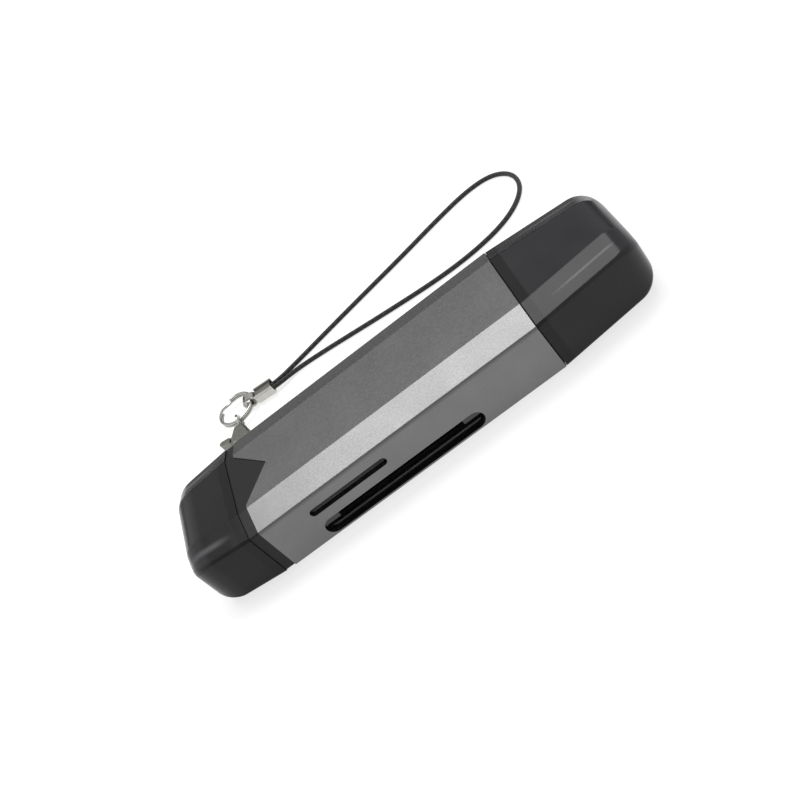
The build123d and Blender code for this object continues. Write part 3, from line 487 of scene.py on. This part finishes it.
# Lanyard cord: one limp loop that leaves the folded end, lies on the surface and comes back. Points are in mm
cordSettings = {"diameter": 0.76 * mm, "length": 112.7 * mm, "steps": 16, "roundness": 6, "order": 3}
cordPoints = [(-19.369, 27.29, 1.08), (-16.435, 26.982, 1.08), (-12.6, 28.25, 0.38), (-7.2, 27.6, 0.38),
              (-0.8, 26.5, 0.38), (6.6, 25.3, 0.38), (14.2, 24.3, 0.38), (20.4, 24.3, 0.38), (26.1, 25.4, 0.38),
              (30.1, 27.9, 0.38), (32.2, 31.4, 0.38), (32.1, 35.6, 0.38), (29.4, 38.7, 0.38), (24.8, 39.2, 0.38),
              (18.7, 37.9, 0.38), (10.5, 35.6, 0.38), (1.4, 33.4, 0.38), (-6.4, 31.4, 0.38), (-12.4, 29.8, 0.38),
              (-16.351, 27.777, 1.08), (-19.285, 28.086, 1.08)]


def makeCord(*madeMetal):
    data = bpy.data.curves.new("lanyardLoop", "CURVE")
    data.dimensions, data.resolution_u = "3D", cordSettings["steps"]
    data.bevel_depth, data.bevel_resolution = cordSettings["diameter"] / 2, cordSettings["roundness"]
    data.use_fill_caps = True
    spline = data.splines.new("NURBS")
    spline.points.add(len(cordPoints) - 1)
    for point, place in zip(spline.points, cordPoints):
        point.co = (*(value * mm for value in place), 1.0)
    spline.order_u, spline.use_endpoint_u = cordSettings["order"], True
    cord = bpy.data.objects.new("lanyardLoop", data)
    bpy.context.scene.collection.objects.link(cord)
    data.materials.append(braidedNylon(cordSettings["length"]))
    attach(cord, "lanyard")
    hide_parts("lanyard_cord")


def dressPieces():
    softened("outer_sleeve", "sleeve_aluminium", anodisedAluminium())
    for name, outwards in (("usb_a_cap", True), ("usb_c_cap", False)):
        low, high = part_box(name)
        ends = (low.x, high.x) if outwards else (high.x, low.x)
        softened(name, "smoke_cap", smokePolycarbonate(name, *ends))
    assign(plastic("moulded black ABS"), "collar", "end_plate")
    assign(plastic("moulded ABS grey as painted light"), "lower_frame")
    assign(plastic("moulded ABS pale as painted light"), "upper_frame", "large_card_base", "small_card_base")
    assign(plastic("tongue plastic"), "usb_a_tongue", "usb_c_insulator")
    assign(plastic("black solder mask"), "circuit_board")
    assign(plastic("epoxy package"), "controller_chip", "voltage_regulator")
    assign(plastic("capacitor ceramic"), "capacitors")
    assign(workedMetal("nickel plated steel"), "usb_a_shell", "usb_c_shell", "clock_crystal", "clasp_eye",
           "clasp_pin")
    assign(workedMetal("pressed nickel strip"), "cord_crimp")
    assign(workedMetal("tinned steel in painted shade"), "large_card_cover", "small_card_cover")
    assign(workedMetal("gold flash"), "usb_a_contacts", "usb_c_contacts", "large_card_contacts",
           "small_card_contacts")
    assign(workedMetal("drawn spring wire"), "clasp_spring")
    zinc = workedMetal("nickel plated zinc")
    assign(zinc, "clasp_trigger")
    ring = makeSplitRing(workedMetal("nickel plated spring wire"))
    return ring, softened("clasp_body", "clasp_metal", zinc)


madeMetal = dressPieces()
print("pieces and materials on")
makeCord(*madeMetal)
print("cord laid")


# Floor: pale and seamless. The part of its light that only the camera and reflections see keeps it white,
# and the rest is lit, so that the object's shadow stays
floorSettings = {"size": 3.0, "colour": "#B7B7B7", "added": 0.73}


def backdropFactor(tree):
    # 1 for what the camera sees, itself or in a reflection, and 0 for the light on the object
    path = addNode(tree, "ShaderNodeLightPath")
    seen = addNode(tree, "ShaderNodeMath", {0: path.outputs["Is Camera Ray"], 1: path.outputs["Is Glossy Ray"]},
                   operation="MAXIMUM").outputs[0]
    return addNode(tree, "ShaderNodeMath", {0: seen, 1: path.outputs["Is Transmission Ray"]},
                   operation="MAXIMUM").outputs[0]


def addSheet(name, corners, material):
    mesh = bpy.data.meshes.new(name)
    mesh.from_pydata(corners, [], [(0, 1, 2, 3)])
    mesh.materials.append(material)
    sheet = bpy.data.objects.new(name, mesh)
    bpy.context.scene.collection.objects.link(sheet)
    return sheet


def addFloor():
    half = floorSettings["size"] / 2
    material, tree = startMaterial("pale paper")
    lit = addNode(tree, "ShaderNodeBsdfDiffuse", {"Color": linearFromHex(floorSettings["colour"])})
    strength = addNode(tree, "ShaderNodeMath", {0: backdropFactor(tree), 1: floorSettings["added"]},
                       operation="MULTIPLY").outputs[0]
    glow = addNode(tree, "ShaderNodeEmission", {"Strength": strength})
    total = addNode(tree, "ShaderNodeAddShader", {0: lit.outputs[0], 1: glow.outputs[0]})
    addNode(tree, "ShaderNodeOutputMaterial", {"Surface": total.outputs[0]})
    floor = addSheet("floor", [(-half, -half, 0), (half, -half, 0), (half, half, 0), (-half, half, 0)], material)


# A dull card behind the object: only reflections see it, so that the slopes at the back stay grey
cardSettings = {"left": -0.16, "right": 0.14, "behind": 0.12, "foot": 1 * mm, "height": 0.052,
                "colour": "#303030", "roughness": 0.9}


def addCard():
    left, right, behind = cardSettings["left"], cardSettings["right"], cardSettings["behind"]
    foot, height = cardSettings["foot"], cardSettings["height"]
    material, tree = startMaterial("dull card")
    shader = addNode(tree, "ShaderNodeBsdfPrincipled", {"Base Color": linearFromHex(cardSettings["colour"]),
                                                        "Roughness": cardSettings["roughness"]})
    addNode(tree, "ShaderNodeOutputMaterial", {"Surface": shader.outputs["BSDF"]})
    card = addSheet("card", [(left, behind, foot), (right, behind, foot), (right, behind, height),
                             (left, behind, height)], material)
    card.visible_camera = card.visible_diffuse = card.visible_shadow = False


# Light: one large box overhead, a little behind, and a room that is brighter towards +X. The backdrop is how
# bright the camera and reflections see the room
lightSettings = {"boxPlace": (0.02, 0.14, 0.45), "boxSize": (0.42, 0.22), "boxPower": 1.40,
                 "roomLeft": 0.28, "roomRight": 0.66, "backdrop": 0.88}


def addLights():
    data = bpy.data.lights.new("overhead", "AREA")
    data.shape, (data.size, data.size_y) = "RECTANGLE", lightSettings["boxSize"]
    data.energy = lightSettings["boxPower"]
    lamp = bpy.data.objects.new("overhead", data)
    bpy.context.scene.collection.objects.link(lamp)
    lamp.location = lightSettings["boxPlace"]
    world = bpy.data.worlds.new("room")
    bpy.context.scene.world = world
    world.use_nodes = True
    tree = world.node_tree
    tree.nodes.clear()
    towards = addNode(tree, "ShaderNodeTexCoord").outputs["Generated"]
    along = addNode(tree, "ShaderNodeSeparateXYZ", {"Vector": towards}).outputs["X"]
    room = addNode(tree, "ShaderNodeMapRange", {"Value": along, "From Min": -1.0,
                                                "To Min": lightSettings["roomLeft"],
                                                "To Max": lightSettings["roomRight"]}).outputs["Result"]
    strength = addNode(tree, "ShaderNodeMapRange", {"Value": backdropFactor(tree), "To Min": room,
                                                    "To Max": lightSettings["backdrop"]}).outputs["Result"]
    glow = addNode(tree, "ShaderNodeBackground", {"Strength": strength})
    addNode(tree, "ShaderNodeOutputWorld", {"Surface": glow.outputs[0]})


addFloor()
addCard()
addLights()
bpy.context.scene.view_settings.view_transform = "Standard"
print("floor and lights set")
